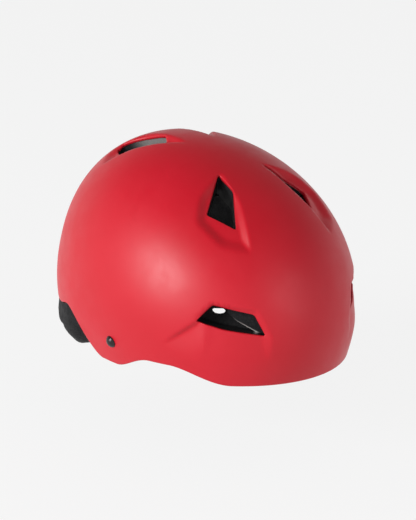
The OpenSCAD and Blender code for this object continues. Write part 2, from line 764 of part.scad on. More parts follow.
outer_shell();
eps_liner();
brow_pad();
crown_pad_front();
crown_pad_rear();
side_pad_right();
side_pad_left();
rear_pad();
pad_hook_discs();
rivet_right();
rivet_left();
anchor_rear_right();
anchor_rear_left();
anchor_front_right();
anchor_front_left();
strap_rear_right();
strap_rear_left();
strap_front_right();
strap_front_left();
divider_right();
divider_left();
chin_strap_right();
chin_strap_left();
buckle_socket();
buckle_tongue();
strap_keeper();
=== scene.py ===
import json
import math
import bpy
import bmesh
import numpy as np
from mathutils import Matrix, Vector, geometry


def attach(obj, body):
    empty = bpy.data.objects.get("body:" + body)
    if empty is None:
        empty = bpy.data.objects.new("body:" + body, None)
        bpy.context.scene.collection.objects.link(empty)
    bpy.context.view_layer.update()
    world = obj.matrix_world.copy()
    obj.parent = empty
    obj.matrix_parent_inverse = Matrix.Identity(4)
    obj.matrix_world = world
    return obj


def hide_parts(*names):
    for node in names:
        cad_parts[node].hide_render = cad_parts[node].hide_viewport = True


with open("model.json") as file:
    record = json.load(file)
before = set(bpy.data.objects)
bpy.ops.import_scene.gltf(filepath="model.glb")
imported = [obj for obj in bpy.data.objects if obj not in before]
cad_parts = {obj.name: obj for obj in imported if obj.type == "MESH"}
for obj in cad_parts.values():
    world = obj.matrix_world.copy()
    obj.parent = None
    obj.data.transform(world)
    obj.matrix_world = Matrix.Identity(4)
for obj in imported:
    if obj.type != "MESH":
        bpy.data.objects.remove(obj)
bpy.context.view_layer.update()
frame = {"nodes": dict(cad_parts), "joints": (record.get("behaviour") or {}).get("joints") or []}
MM = 0.001

# The part's sizes, in millimetres and degrees. Azimuths run from 0 in front to 180 behind.
DOME = dict(half_w=109, front=139, rear=140, crown=118, skirt=118)
CAVITY = dict(half_w=84, front=111, rear=112, crown=92, skirt=200)
PITCH = math.radians(20)
PLAN_POWER, CROWN_POWER, SKIRT_POWER = 2.0, 2.2, 2.3
WALL, LINER_GAP = 3.0, 0.3
# The shell is drawn in over each ear
EAR_TUCK, TUCK_AZ, TUCK_EL, TUCK_SPAN, TUCK_REAR_SPAN, TUCK_RISE = 5.0, 95, -24, 45, 24, 22
# The rim's height by azimuth: an arch, the lobe at the ear, then the rise to the nape
ARCH_H, ARCH_START, ARCH_FULL, ARCH_END, LOBE, LOBE_END = 13, 30, 55, 64, 86, 96
NAPE_H, NAPE, NAPE_DIP, NAPE_EASE = 34, 120, 5, 12
# The foam's lower edge: its lift above the arch's line, and its shoulder behind the lobe
LIFT, SHOULDER, SHOULDER_AZ = 3, 6, 104.5
MID_Z = 44.0
# The nape band: its distances from the shell's face, where it starts, and its gap to the rim
NAPE_INSET, NAPE_OUT, NAPE_LIP_OUT = 0.6, 3.2, 1.8
NAPE_START, NAPE_BLEND, BAND_GAP = 106, 8, 0.8
# How sharp a scoop's corners are, and how sharply two scoops meet
CORNER_HARDNESS, SCOOP_POWER = 7, 3

# A vent is its sketch plane's azimuth and elevation, its hole, and its scoops.
# A scoop is an outline whose points carry the width of the slope that follows them, and a depth.
VENTS = {
    "upper": (35, 50, [[6, 31], [-6, -8], [16, -23], [16, 12]],
              [([[8, 34, 8], [-12, 8, 9], [-17, -17, 11], [2, -42, 12], [27, -47, 5], [21, 0, 5]], 4.5)]),
    "lower": (45, 5, [[3, -1], [24, -7], [57, -12], [48, 5], [16, 12]],
              [([[0, 0, 16], [8, -30, 24], [60, -36, 10], [64, -14, 4], [51, 9, 3], [16, 15, 3]], 3.0),
               ([[-27, -23, 20], [0, -38, 24], [26, -12, 2], [5, 1, 3]], 3.0)]),
    "crown": (120, 70,
              [[-14, 12.5], [-23, 14.5], [-39.5, 0.5], [-52, -19], [-47.5, -25.5], [-25, -26]],
              [([[4, 28, 5], [-22, 17, 6], [-44, 2, 8], [-56, -24, 10], [-46, -38, 10], [-27, -42, 5]],
                4.0)]),
    "rear": (155, 12, [[-8, -16], [10, -19], [13, 12], [-4, 18]],
             [([[-15, -26, 6], [16, -30, 6], [19, 20, 6], [-7, 28, 10], [-17, 8, 8]], 3.5)]),
}
# In the foam behind a lower vent: the channel's and the shelf's outlines, and how far out the floors lie
LOWER_CHANNEL = [[13.8, 3.5], [15.6, 1.1], [19.5, 0.3], [23.4, 1.1], [25.0, 3.7], [23.6, 5.8], [15.2, 5.8]]
POCKET_SHELF = [[26.5, 25], [26.5, 3.5], [33.8, -3.1], [62, -18.5], [62, 25]]
LOWER_FACE, POCKET_DEPTH, SHELF_DEPTH = 121.0, 17.0, 11.5
SHELF_FACE, PIT_FACE = LOWER_FACE - SHELF_DEPTH, LOWER_FACE - POCKET_DEPTH
# Steps of halving that find a height on a face, and of moving along a line of sight to a face
HALVINGS = 26
SIGHT_START, SIGHT_STEPS, SIGHT_SHARE = 110.0, 40, 0.7


# The helmet's faces, as radii from its middle
def ease(t):
    s = np.clip(t, 0, 1)
    return s * s * (3 - 2 * s)


def ramp(a, a0, a1):
    return ease((a - a0) / (a1 - a0))


def aim(az, el):
    """Directions at an azimuth from the front towards the wearer's right, and an elevation."""
    a, e = np.radians(az), np.radians(el)
    return np.stack([-np.sin(a) * np.cos(e), -np.cos(a) * np.cos(e), np.sin(e) + 0 * a], -1)


def across(az):
    """A sketch plane's first axis, level."""
    a = math.radians(az)
    return np.array([math.cos(a), -math.sin(a), 0.0])


def upward(az, el):
    """A sketch plane's second axis, upward."""
    a, e = math.radians(az), math.radians(el)
    return np.array([math.sin(a) * math.sin(e), math.cos(a) * math.sin(e), math.cos(e)])


def egg(w, half_w, front, rear, crown, skirt):
    """Radii of an egg tilted by the pitch, from its half sizes each way."""
    y = w[:, 1] * math.cos(PITCH) + w[:, 2] * math.sin(PITCH)
    z = w[:, 2] * math.cos(PITCH) - w[:, 1] * math.sin(PITCH)
    length = np.where(y < 0, front, rear)
    high = np.where(z > 0, crown, skirt)
    m = np.where(z > 0, CROWN_POWER, SKIRT_POWER)
    plan = np.abs(w[:, 0] / half_w) ** PLAN_POWER + np.abs(y / length) ** PLAN_POWER
    return (plan ** (m / PLAN_POWER) + np.abs(z / high) ** m) ** (-1 / m)


def azimuth(w):
    return np.degrees(np.arctan2(np.abs(w[:, 0]), -w[:, 1]))


def plain_r(w):
    """The dome with its tucked ears, before the scoops."""
    az = azimuth(w)
    a = (az - TUCK_AZ) / np.where(az < TUCK_AZ, TUCK_SPAN, TUCK_REAR_SPAN)
    e = (np.degrees(np.arcsin(np.clip(w[:, 2], -1, 1))) - TUCK_EL) / TUCK_RISE
    return egg(w, **DOME) - EAR_TUCK * np.exp(-a * a - e * e)


def edge_insets(x, y, outline):
    """How far points lie inside each edge of an outline, in widths of that edge's slope."""
    insets = []
    for a, b in zip(outline, outline[1:] + outline[:1]):
        run = np.array([b[0] - a[0], b[1] - a[1]], float)
        width = a[2] if len(a) > 2 else 1.0
        insets.append((run[0] * (y - a[1]) - run[1] * (x - a[0])) / np.linalg.norm(run) / width)
    return np.array(insets)


def scooped(p, az, el, outline, depth):
    """How deep a scoop is at the points p, eased over the slopes inside its outline."""
    insets = edge_insets(p @ across(az), p @ upward(az, el), outline)
    inset = -np.logaddexp.reduce(-CORNER_HARDNESS * insets, axis=0) / CORNER_HARDNESS
    return np.where(p @ aim(az, el) < 0, 0, depth * ease(inset))


def shell_r(w):
    r = plain_r(w)
    p = np.stack([-np.abs(w[:, 0]), w[:, 1], w[:, 2]], 1) * r[:, None]
    deep = np.zeros(len(w))
    for az, el, hole, scoops in VENTS.values():
        for outline, depth in scoops:
            scoop = scooped(p, az, el, outline, depth)
            deep = (deep ** SCOOP_POWER + scoop ** SCOOP_POWER) ** (1 / SCOOP_POWER)
    return r - deep


def shell_in_r(w):
    return shell_r(w) - WALL


def liner_r(w):
    return shell_in_r(w) - LINER_GAP


def cavity_r(w):
    return egg(w, **CAVITY)


def arch(az):
    return ARCH_H * (ramp(az, ARCH_START, ARCH_FULL) - ramp(az, ARCH_END, LOBE))


def shell_rim(az):
    return arch(az) + NAPE_H * ramp(az, LOBE_END, NAPE) - NAPE_DIP * ramp(az, NAPE, NAPE + NAPE_EASE)


def liner_rim(az):
    return (arch(az) + LIFT + SHOULDER * ramp(az, LOBE_END - 2, SHOULDER_AZ)
            - (LIFT + SHOULDER) * ramp(az, SHOULDER_AZ, NAPE + 1))


def level(f, az, z, low=-60.0, high=0.0):
    """Elevations at which the face f stands at the heights z, found by halving."""
    lo, hi = np.full(len(az), low), np.full(len(az), high)
    for _ in range(HALVINGS):
        mid = (lo + hi) / 2
        below = MID_Z + f(aim(az, mid)) * np.sin(np.radians(mid)) < z
        lo, hi = np.where(below, mid, lo), np.where(below, hi, mid)
    return (lo + hi) / 2


def folded(az):
    return np.where(az > 180, 360 - az, az)


def reach_along_y(az, z):
    """The shell's y at an azimuth, at nine elevations of 3 degrees from the height z up."""
    start = level(shell_r, np.array([az]), np.array([z]))[0]
    w = aim(np.full(9, az), start + np.arange(9) * 3)
    return w[:, 1] * shell_r(w)


FRONT_Y = reach_along_y(0.0, 0.0).min()
REAR_Y = reach_along_y(180.0, NAPE_H - NAPE_DIP).max()
MID = np.array([0.0, -(FRONT_Y + REAR_Y) / 2, MID_Z])


# Meshes
def add_mesh(name, verts, faces, smooth=True, uv=None, scale=MM):
    mesh = bpy.data.meshes.new(name)
    mesh.from_pydata((np.asarray(verts) * scale).tolist(), [], [tuple(int(i) for i in f) for f in faces])
    if uv is not None:
        layer = mesh.uv_layers.new(name="UVMap")
        index = np.empty(len(mesh.loops), int)
        mesh.loops.foreach_get("vertex_index", index)
        layer.data.foreach_set("uv", np.asarray(uv, float)[index].ravel())
    mesh.validate()
    if smooth:
        mesh.shade_smooth()
    obj = bpy.data.objects.new(name, mesh)
    bpy.context.scene.collection.objects.link(obj)
    return obj


def to_map(w):
    """Equal-area map of directions about the crown."""
    flat = np.hypot(w[:, 0], w[:, 1]) + 1e-12
    rho = np.sqrt(np.maximum(2 * (1 - w[:, 2]), 0))
    return np.stack([w[:, 0] / flat * rho, w[:, 1] / flat * rho], 1)


def from_map(q):
    """The directions of places on the map."""
    rho = np.hypot(q[:, 0], q[:, 1])
    z = 1 - rho * rho / 2
    s = np.sqrt(np.maximum(1 - z * z, 0)) / np.maximum(rho, 1e-12)
    return np.stack([q[:, 0] * s, q[:, 1] * s, z], 1)


def inside(q, loop):
    """Which points lie inside a loop."""
    a, b = loop, np.roll(loop, -1, 0)
    out = np.zeros(len(q), bool)
    for (ax, ay), (bx, by) in zip(a, b):
        crosses = (ay > q[:, 1]) != (by > q[:, 1])
        if by != ay:
            out ^= crosses & (q[:, 0] < (bx - ax) * (q[:, 1] - ay) / (by - ay) + ax)
    return out


def between(q, loops):
    """Which points lie inside the first loop and outside the others."""
    keep = inside(q, loops[0])
    for loop in loops[1:]:
        keep &= ~inside(q, loop)
    return keep


def ring_edges(loops):
    """The edges round each loop, and the number of each loop's first point."""
    edges, starts, at = [], [], 0
    for loop in loops:
        starts.append(at)
        edges += [(at + k, at + (k + 1) % len(loop)) for k in range(len(loop))]
        at += len(loop)
    return edges, starts


def triangles(points, edges, loops):
    """Delaunay triangles between the first loop and the others, all turning the same way."""
    out = geometry.delaunay_2d_cdt([Vector(p) for p in points], edges, [], 0, 1e-7)
    back = [ids[0] if ids else -1 for ids in out[3]]
    faces = np.array([[back[k] for k in f] for f in out[2]])
    faces = faces[(faces >= 0).all(1)]
    faces = faces[between(points[faces].mean(1), loops)]
    a, b, c = points[faces[:, 0]], points[faces[:, 1]], points[faces[:, 2]]
    turn = (b[:, 0] - a[:, 0]) * (c[:, 1] - a[:, 1]) - (b[:, 1] - a[:, 1]) * (c[:, 0] - a[:, 0])
    faces[turn < 0] = faces[turn < 0][:, ::-1]
    return faces


# Rows of a triangular grid stand this share of its spacing apart
ROW_STEP = 0.866
CHUNK = 4000


def skin(radius, rim, holes, spacing):
    """Triangles over the dome between the rim and the holes, which are loops of directions."""
    loops = [to_map(rim)] + [to_map(h) for h in holes]
    n = int(np.abs(loops[0]).max() / spacing) + 2
    i, j = np.meshgrid(np.arange(-n, n + 1), np.arange(-int(n * 1.2), int(n * 1.2) + 1))
    grid = np.stack([(i + (j % 2) * 0.5) * spacing, j * spacing * ROW_STEP], -1).reshape(-1, 2)
    grid = grid[between(grid, loops)]
    near = np.zeros(len(grid), bool)
    edge = np.concatenate(loops)
    for k in range(0, len(grid), CHUNK):
        d = grid[k:k + CHUNK, None, :] - edge[None, :, :]
        near[k:k + CHUNK] = ((d * d).sum(-1) < (0.55 * spacing) ** 2).any(1)
    grid = grid[~near]
    edges, starts = ring_edges(loops)
    faces = triangles(np.concatenate([edge, grid]), edges, loops)
    w = np.concatenate([rim] + holes + [from_map(grid)])
    rings = [list(range(start, start + len(loop))) for start, loop in zip(starts, loops)]
    return MID + w * radius(w)[:, None], faces, rings


def rounded(outline, r, steps=6):
    """An outline with rounded corners, each from r before the corner to r after it."""
    pts = []
    n = len(outline)
    for i in range(n):
        p = np.array(outline[i], float)
        a = np.array(outline[i - 1], float) - p
        b = np.array(outline[(i + 1) % n], float) - p
        start, end = p + a / np.linalg.norm(a) * r, p + b / np.linalg.norm(b) * r
        for k in range(steps + 1):
            t = k / steps
            pts.append(start * (1 - t) ** 2 + p * 2 * t * (1 - t) + end * t * t)
    return np.array(pts)


def resampled(loop, step):
    """A closed loop's points, spaced evenly by about the step."""
    closed = np.concatenate([loop, loop[:1]])
    s = np.concatenate([[0], np.cumsum(np.linalg.norm(np.diff(closed, axis=0), axis=1))])
    n = int(s[-1] / step)
    t = np.arange(n) * s[-1] / n
    return np.stack([np.interp(t, s, closed[:, 0]), np.interp(t, s, closed[:, 1])], 1)


def pushed(loop, d):
    """A loop moved outward by d."""
    tangent = np.roll(loop, -1, 0) - np.roll(loop, 1, 0)
    normal = np.stack([tangent[:, 1], -tangent[:, 0]], 1)
    return loop + normal / np.linalg.norm(normal, axis=1)[:, None] * d


def on_face(az, el, loop, radius, left):
    """Where the lines of sight square to a sketch plane meet a face, and their directions."""
    base = loop[:, :1] * across(az) + loop[:, 1:] * upward(az, el)
    d = aim(az, el)
    t = np.full(len(loop), SIGHT_START)
    for _ in range(SIGHT_STEPS):
        p = base + t[:, None] * d
        r = np.linalg.norm(p, axis=1)
        t = t + (radius(p / r[:, None]) - r) / (p @ d / r) * SIGHT_SHARE
    p = base + t[:, None] * d
    if left:
        p = p * [-1, 1, 1]
        d = d * [-1, 1, 1]
    return p, d


class Shape:
    """Collects rings and skins of one closed mesh."""

    def __init__(self):
        self.verts, self.faces, self.count = [], [], 0

    def add(self, verts, faces=()):
        base = self.count
        self.verts.append(np.asarray(verts, float))
        self.count += len(verts)
        self.faces += [tuple(int(k) + base for k in f) for f in faces]
        return base

    def add_skin(self, radius, rim, holes, spacing, turned=False):
        """Adds a skin, turned over where it faces inward, and gives its loops."""
        verts, faces, loops = skin(radius, rim, holes, spacing)
        base = self.add(verts, [f[::-1] for f in faces] if turned else faces)
        return [[k + base for k in loop] for loop in loops]

    def add_ring(self, verts):
        base = self.add(verts)
        return list(range(base, base + len(verts)))

    def bridge(self, a, b):
        n = len(a)
        for i in range(n):
            j = (i + 1) % n
            self.faces.append((a[i], a[j], b[j], b[i]))

    def next_ring(self, ring, verts):
        new = self.add_ring(verts)
        self.bridge(ring, new)
        return new

    def add_tube(self, rings):
        """A tube through the rings, closed with a flat face at each end."""
        ring = self.add_ring(rings[0])
        self.faces.append(tuple(ring[::-1]))
        for verts in rings[1:]:
            ring = self.next_ring(ring, verts)
        self.faces.append(tuple(ring))

    def build(self, name, uv=None):
        return add_mesh(name, np.concatenate(self.verts), self.faces, uv=uv)


def outward(obj):
    """Turns all faces outward."""
    bm = bmesh.new()
    bm.from_mesh(obj.data)
    bmesh.ops.recalc_face_normals(bm, faces=bm.faces)
    bm.to_mesh(obj.data)
    bm.free()


# Outer shell
LIP = 0.9
QUARTER_TURN = [math.radians(k * 22.5) for k in range(1, 5)]
# Spacing of the points round a vent, and height of its wall's foot above the shell's inner face
STEP, WALL_FOOT = 1.3, 0.3
HOLE_ROUND, CHANNEL_ROUND = 2.0, 0.8
# Sizes of triangles: on the map of directions, whose unit is about a radian, and on a pocket's floor in mm
SHELL_SPACING, INNER_SPACING, LINER_SPACING, CAVITY_SPACING = 0.0155, 0.035, 0.04, 0.03
FLOOR_SPACING = 0.7


def vent_loops(radius, push, lower=None):
    """Each vent's hole on a face, pushed outward, as points and a direction: the right one, then the left."""
    loops = []
    for name, (az, el, outline, scoops) in VENTS.items():
        loop = resampled(rounded(outline, HOLE_ROUND), STEP)
        if lower and name == "lower":
            loop = resampled(rounded(lower, CHANNEL_ROUND), STEP)
        for left in (False, True):
            p, d = on_face(az, el, pushed(loop, push), radius, left)
            if left:
                p = p[::-1]
            loops.append((p, d))
    return loops


def directions(loops):
    return [p / np.linalg.norm(p, axis=1)[:, None] for p, d in loops]


COLUMNS = 420
column_az = np.arange(COLUMNS) * 360.0 / COLUMNS


def rim_ring(radius, height, inset):
    """Directions and points round a face moved inward, at the given heights."""
    def moved(w):
        return radius(w) - inset

    w = aim(column_az, level(moved, column_az, height))
    return w, MID + w * moved(w)[:, None]


def roll_rim(shape, ring, rim_z):
    """The rolled rim: a quarter round from the outer face down, then one up to the inner face."""
    steps = [(a, LIP * (1 - math.cos(a))) for a in QUARTER_TURN]
    steps += [(a, WALL - LIP * (1 - math.cos(a))) for a in QUARTER_TURN[2::-1]]
    for a, inset in steps:
        ring = shape.next_ring(ring, rim_ring(shell_r, rim_z + LIP * (1 - math.sin(a)), inset)[1])
    return ring


def lip_rings():
    """The rings of every vent's rolled lip, from the outer face down, and the foot of its wall."""
    rings = []
    for a in QUARTER_TURN:
        drop = LIP * (1 - math.cos(a))
        rings.append([p - d * drop for p, d in vent_loops(shell_r, LIP * (1 - math.sin(a)))])
    rings.append([p + d * WALL_FOOT for p, d in vent_loops(shell_in_r, 0)])
    return rings


def make_shell():
    shape = Shape()
    rim_z = shell_rim(folded(column_az))
    rim_w = rim_ring(shell_r, rim_z + LIP, 0)[0]
    in_w = rim_ring(shell_in_r, rim_z + LIP, 0)[0]
    outer = shape.add_skin(shell_r, rim_w, directions(vent_loops(shell_r, LIP)), SHELL_SPACING)
    inner = shape.add_skin(shell_in_r, in_w, directions(vent_loops(shell_in_r, LIP)), INNER_SPACING, True)
    shape.bridge(roll_rim(shape, outer[0], rim_z), inner[0])
    rings = lip_rings()
    for v in range(1, len(outer)):
        ring = outer[v]
        for step in rings:
            ring = shape.next_ring(ring, MID + step[v - 1])
        shape.bridge(ring, inner[v])
    obj = shape.build("shell")
    outward(obj)
    return obj


# Foam liner
# The nape band's profile: share of its height, and distance inside the shell's outer face
NAPE_PROFILE = [(0, 3), (0.015, 1.6), (0.04, 0.7), (0.08, 0), (0.14, -1.2), (0.2, -NAPE_LIP_OUT),
                (0.33, -NAPE_LIP_OUT), (0.36, -NAPE_LIP_OUT + 0.5), (0.375, 0.2), (0.385, 0.2),
                (0.395, -NAPE_OUT + 0.8), (0.42, -NAPE_OUT), (0.6, -0.7 * NAPE_OUT),
                (0.95, NAPE_INSET), (1, NAPE_INSET + 0.8)]
FOAM_CLEAR, FOOT_ROUND = 0.4, 1.5
# A vent's way through the foam: the drop below its mouth, and the rise and the flare at the cavity
MOUTH_DROP, FOOT_RISE, FOOT_FLARE = 0.8, 1.2, 1.0


def nape_radius(inset):
    """The liner's face, which towards the nape becomes the shell's, moved inward by the inset."""
    def f(w):
        k = ramp(azimuth(w), NAPE_START, NAPE_START + NAPE_BLEND)
        return liner_r(w) * (1 - k) + (shell_r(w) - inset) * k
    return f


def on_plane(az, el, loop, distance, left):
    """Points of a sketch plane at the given distances from the middle."""
    p = loop[:, :1] * across(az) + loop[:, 1:] * upward(az, el) + np.reshape(distance, (-1, 1)) * aim(az, el)
    return p * [-1, 1, 1] if left else p


def pocket_floor(q):
    """Distance of the floor from the middle: a shallow shelf and a deep pit, with a rounded step between."""
    insets = edge_insets(q[:, 0], q[:, 1], POCKET_SHELF)
    share = ease((insets.min(0) + 0.6) / 1.2)
    return PIT_FACE + (POCKET_DEPTH - SHELF_DEPTH) * share


def flat_skin(loops, spacing):
    """Triangles over a flat outline with holes, in its own plane."""
    edge = np.concatenate(loops)
    low, high = loops[0].min(0), loops[0].max(0)
    rows = np.arange(low[1], high[1], spacing * ROW_STEP)
    x, y = np.meshgrid(np.arange(low[0], high[0], spacing), rows)
    x = x + (np.arange(len(x)) % 2)[:, None] * spacing / 2
    grid = np.stack([x.ravel(), y.ravel()], 1)
    grid = grid[between(grid, loops)]
    gap = ((grid[:, None] - edge[None]) ** 2).sum(-1).min(1)
    points = np.concatenate([edge, grid[gap > (0.5 * spacing) ** 2]])
    return points, triangles(points, ring_edges(loops)[0], loops)


def add_pocket(shape, outer, channel_top, left):
    """A lower vent's stepped pocket, from the liner's face down to the top of its channel."""
    az, el, outline = VENTS["lower"][:3]
    mouth = resampled(rounded(outline, HOLE_ROUND), STEP)
    channel = resampled(rounded(LOWER_CHANNEL, CHANNEL_ROUND), STEP)
    points, faces = flat_skin([mouth, channel], FLOOR_SPACING)
    floor = on_plane(az, el, points, pocket_floor(points), left)
    base = shape.add(MID + floor, [f[::-1] for f in faces] if left else faces)
    rim = list(range(base, base + len(mouth)))
    ring = list(range(base + len(mouth), base + len(mouth) + len(channel)))
    if left:
        rim, ring = rim[::-1], ring[::-1]
    shape.bridge(outer, rim)
    shape.bridge(ring, channel_top)


# Along the lower vents' shelf the foam's edge gets a painted highlight from and to these places, in full from
# the second
SHELF_HIGHLIGHT_FROM, SHELF_HIGHLIGHT_FULL, SHELF_HIGHLIGHT_TO = 29, 42, 62
# The crown vents' rims get painted light, grey, this near their outline and above this height, paler towards
# the front
RIM_REACH, RIM_LOW, RIM_PAINTED_LIGHT = 1.5, 98.0, 0.3
RIM_DARK_TO, RIM_LIGHT_FROM = -50, -40


def in_sketch(verts, az, el):
    """Places across, up and out from a sketch plane, with the left side mirrored onto the right."""
    p = np.stack([-np.abs(verts[:, 0]), verts[:, 1], verts[:, 2]], 1)
    return p @ across(az), p @ upward(az, el), p @ aim(az, el)


def shelf_highlight(verts):
    """The painted highlight along the edge of the lower vents' shelf, as a paleness of the foam."""
    az, el = VENTS["lower"][:2]
    x, y, depth = in_sketch(verts, az, el)
    inset = edge_insets(x, y, POCKET_SHELF[1:4])[:2].min(0)
    wide = 0.35 + 0.3 * ramp(x, 40, 58)
    near = np.exp(-((inset - 0.6) / wide) ** 2) * ramp(depth, PIT_FACE + 2, SHELF_FACE)
    return near * ramp(x, SHELF_HIGHLIGHT_FROM, SHELF_HIGHLIGHT_FULL) * (depth < SHELF_FACE + 0.5) * (x < SHELF_HIGHLIGHT_TO)


def crown_rim_light(verts):
    """The painted light on the crown vents' rims, as a paleness of the foam."""
    az, el, outline = VENTS["crown"][:3]
    x, y, depth = in_sketch(verts, az, el)
    on_rim = np.abs(edge_insets(x, y, outline).min(0)) < RIM_REACH
    return RIM_PAINTED_LIGHT * on_rim * (depth > RIM_LOW) * ramp(x, RIM_DARK_TO, RIM_LIGHT_FROM)


def paint_foam_light(obj):
    """How pale the foam is painted: a painted highlight on the lower vents' shelf, and painted light, grey,
    in the crown vents.
    """
    verts = np.array([v.co for v in obj.data.vertices]) / MM - MID
    painted_light = np.maximum(shelf_highlight(verts), crown_rim_light(verts))
    obj.data.attributes.new("painted_light", "FLOAT", "POINT").data.foreach_set("value", painted_light)


def roll_nape(shape, ring, low, top):
    """The liner's rings from its top down the nape band and round its lower edge."""
    for share, inset in reversed(NAPE_PROFILE):
        face = nape_radius(inset)
        w = aim(column_az, level(face, column_az, low + (top - low) * share))
        ring = shape.next_ring(ring, MID + w * face(w)[:, None])
    w = aim(column_az, level(lambda w: cavity_r(w) + FOOT_ROUND, column_az, low))
    return shape.next_ring(ring, MID + w * (cavity_r(w) + FOOT_ROUND)[:, None])


def make_liner():
    shape = Shape()
    az = folded(column_az)
    low = liner_rim(az)
    top = np.maximum(shell_rim(az) - BAND_GAP, low + BAND_GAP)
    out_w = aim(column_az, level(liner_r, column_az, top + BAND_GAP / 2))
    in_w = aim(column_az, level(cavity_r, column_az, low + FOOT_ROUND))
    mouths = vent_loops(liner_r, FOAM_CLEAR)
    outer = shape.add_skin(liner_r, out_w, directions(mouths), LINER_SPACING)
    ends = directions(vent_loops(cavity_r, FOOT_FLARE, LOWER_CHANNEL))
    inner = shape.add_skin(cavity_r, in_w, ends, CAVITY_SPACING, True)
    shape.bridge(roll_nape(shape, outer[0], low, top), inner[0])
    feet = vent_loops(cavity_r, 0, LOWER_CHANNEL)
    kinds = [(name, left) for name in VENTS for left in (False, True)]
    for v, (name, left) in enumerate(kinds):
        p, d = mouths[v]
        ring = shape.next_ring(outer[1 + v], MID + p - d * MOUTH_DROP)
        p, d = feet[v]
        foot = shape.add_ring(MID + p + d * FOOT_RISE)
        if name == "lower":
            add_pocket(shape, ring, foot, left)
        else:
            shape.bridge(ring, foot)
        shape.bridge(foot, inner[1 + v])
    obj = shape.build("liner")
    outward(obj)
    # Paints pale painted light on the lower vents' shelf and the crown vents' rims
    paint_foam_light(obj)
    obj.data.set_sharp_from_angle(angle=math.radians(50))
    return obj


# Materials
def material(name, color, rough, **sockets):
    mat = bpy.data.materials.new(name)
    mat.use_nodes = True
    nt = mat.node_tree
    bsdf = nt.nodes["Principled BSDF"]
    bsdf.inputs["Base Color"].default_value = (*color, 1)
    bsdf.inputs["Roughness"].default_value = rough
    for key, value in sockets.items():
        bsdf.inputs[key.replace("_", " ")].default_value = value
    return mat, nt, bsdf


def node(nt, kind, **inputs):
    n = nt.nodes.new(kind)
    for key, value in inputs.items():
        key = key.replace("_", " ")
        if key in n.inputs:
            n.inputs[key].default_value = value
    return n


def noise(nt, coord, scale, detail=3.0, rough=0.5):
    """Noise values at the coordinates."""
    n = node(nt, "ShaderNodeTexNoise", Scale=scale, Detail=detail, Roughness=rough)
    nt.links.new(coord, n.inputs["Vector"])
    return n.outputs["Fac"]


def tint(nt, fac, low, high, start=0.0, end=1.0):
    """Colours from low to high as fac goes from start to end."""
    n = nt.nodes.new("ShaderNodeValToRGB")
    n.color_ramp.elements[0].position = start
    n.color_ramp.elements[0].color = (*low, 1)
    n.color_ramp.elements[1].position = end
    n.color_ramp.elements[1].color = (*high, 1)
    nt.links.new(fac, n.inputs[0])
    return n.outputs["Color"]


def spread(nt, fac, low, high, start=0.0, end=1.0):
    """Values from low to high as fac goes from start to end."""
    n = nt.nodes.new("ShaderNodeMapRange")
    for key, value in zip((1, 2, 3, 4), (start, end, low, high)):
        n.inputs[key].default_value = value
    nt.links.new(fac, n.inputs[0])
    return n.outputs[0]


def bump(nt, bsdf, height, distance, strength=1.0, under=None):
    """Bumps from a height, on top of those under it."""
    n = node(nt, "ShaderNodeBump", Strength=strength, Distance=distance)
    nt.links.new(height, n.inputs["Height"])
    if under is not None:
        nt.links.new(under, n.inputs["Normal"])
    nt.links.new(n.outputs[0], bsdf.inputs["Normal"])
    return n.outputs[0]


def object_coords(nt):
    return nt.nodes.new("ShaderNodeTexCoord").outputs["Object"]


def math_node(nt, op, a, b=None):
    n = nt.nodes.new("ShaderNodeMath")
    n.operation = op
    for k, v in enumerate((a, b)):
        if v is None:
            continue
        if isinstance(v, (int, float)):
            n.inputs[k].default_value = v
        else:
            nt.links.new(v, n.inputs[k])
    return n.outputs[0]


def shell_material():
    """Moulded shell: satin red with a faint flow and orange peel."""
    mat, nt, bsdf = material("shell_red", (0.62, 0.003, 0.018), 0.44, Specular_IOR_Level=0.5)
    at = object_coords(nt)
    flow = tint(nt, noise(nt, at, 9, 4), (0.595, 0.0025, 0.015), (0.645, 0.004, 0.021), 0.3, 0.7)
    nt.links.new(flow, bsdf.inputs["Base Color"])
    nt.links.new(spread(nt, noise(nt, at, 60, 5, 0.6), 0.41, 0.48, 0.35, 0.65), bsdf.inputs["Roughness"])
    first = bump(nt, bsdf, noise(nt, at, 420, 2), 0.00006, 0.25)
    bump(nt, bsdf, noise(nt, at, 2600, 2), 0.00002, 0.3, first)
    return mat


def foam_material():
    """Expanded foam: fused beads under a dark skin, painted pale where painted light falls on the vents'
    shelf and rims.
    """
    mat, nt, bsdf = material("liner_foam", (0.01, 0.01, 0.011), 0.75, Specular_IOR_Level=0.22)
    at = object_coords(nt)
    beads = node(nt, "ShaderNodeTexVoronoi", Scale=420.0, Randomness=0.9)
    beads.feature = "DISTANCE_TO_EDGE"
    nt.links.new(at, beads.inputs["Vector"])
    seam = spread(nt, beads.outputs["Distance"], 0, 1, 0.0, 0.12)
    painted_light = nt.nodes.new("ShaderNodeAttribute")
    painted_light.attribute_name = "painted_light"
    painted_light_mix = nt.nodes.new("ShaderNodeMix")
    painted_light_mix.data_type = "RGBA"
    nt.links.new(painted_light.outputs["Fac"], painted_light_mix.inputs[0])
    nt.links.new(tint(nt, seam, (0.004, 0.004, 0.005), (0.013, 0.013, 0.014)), painted_light_mix.inputs[6])
    # The pale colour is painted light: a highlight along the lower vents' shelf and light inside the crown
    # vents
    nt.links.new(tint(nt, noise(nt, at, 900, 2), (0.60, 0.56, 0.53), (0.85, 0.81, 0.78)), painted_light_mix.inputs[7])
    nt.links.new(painted_light_mix.outputs[2], bsdf.inputs["Base Color"])
    nt.links.new(spread(nt, noise(nt, at, 150, 3), 0.62, 0.82, 0.3, 0.7), bsdf.inputs["Roughness"])
    first = bump(nt, bsdf, seam, 0.0001, 0.5)
    bump(nt, bsdf, noise(nt, at, 1500, 3), 0.00005, 0.4, first)
    return mat


